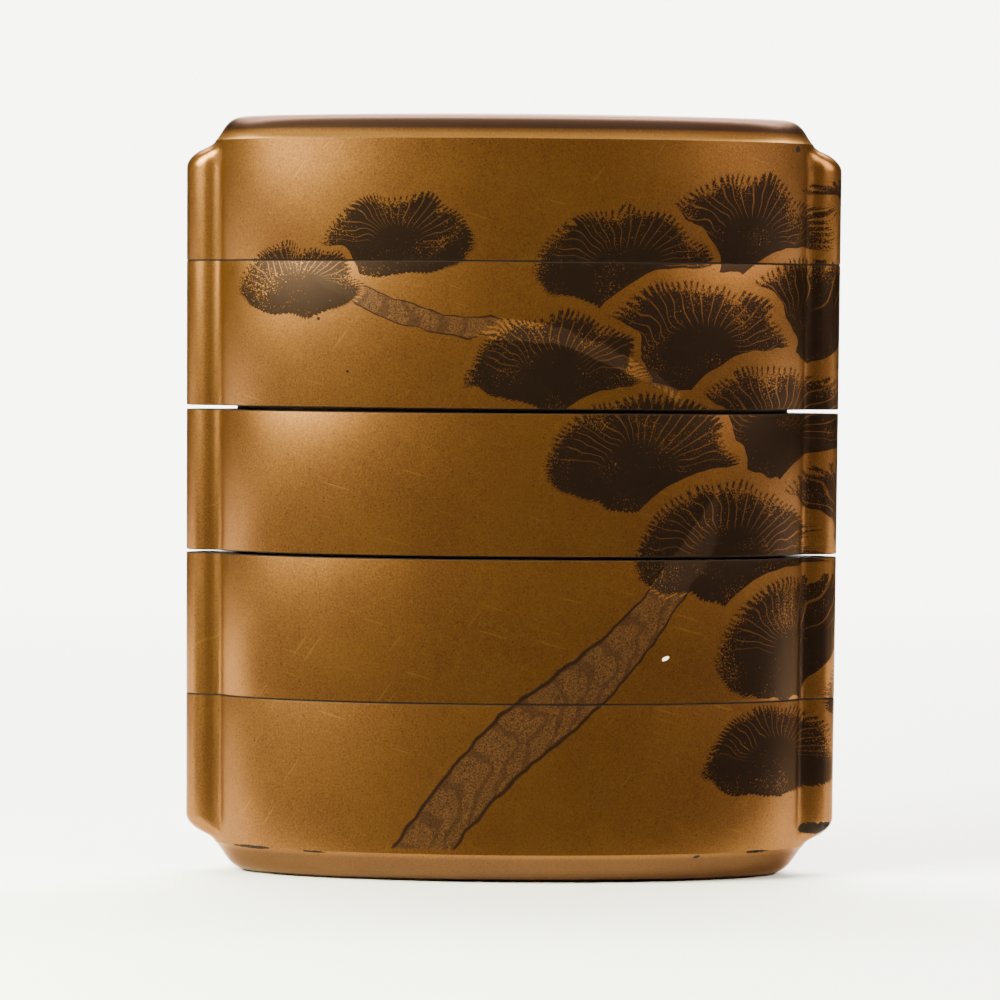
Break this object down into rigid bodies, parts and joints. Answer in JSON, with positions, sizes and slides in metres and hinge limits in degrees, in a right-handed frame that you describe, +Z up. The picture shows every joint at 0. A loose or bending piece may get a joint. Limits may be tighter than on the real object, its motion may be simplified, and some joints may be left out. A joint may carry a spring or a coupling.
{
  "type": "inro case",
  "caption": "Small oval tiered case of gold and dark lacquer: cases that nest by thin risers under a lid, with a ribbed cord channel down each end.",
  "frame": {"origin": "middle of the flat underside", "axes": "+Z up the stack, +X along the width through both cord channels, -Y out of the decorated face"},
  "size_m": [0.0624, 0.024, 0.0723],
  "materials": {
    "lacquer": "gold sprinkled lacquer over thin wood, half gloss"
  },
  "bodies": {
    "root": {"base_case": "lacquer", "lower_case": "lacquer", "middle_case": "lacquer", "upper_case": "lacquer", "lid": "lacquer"}
  },
  "joints": []
}
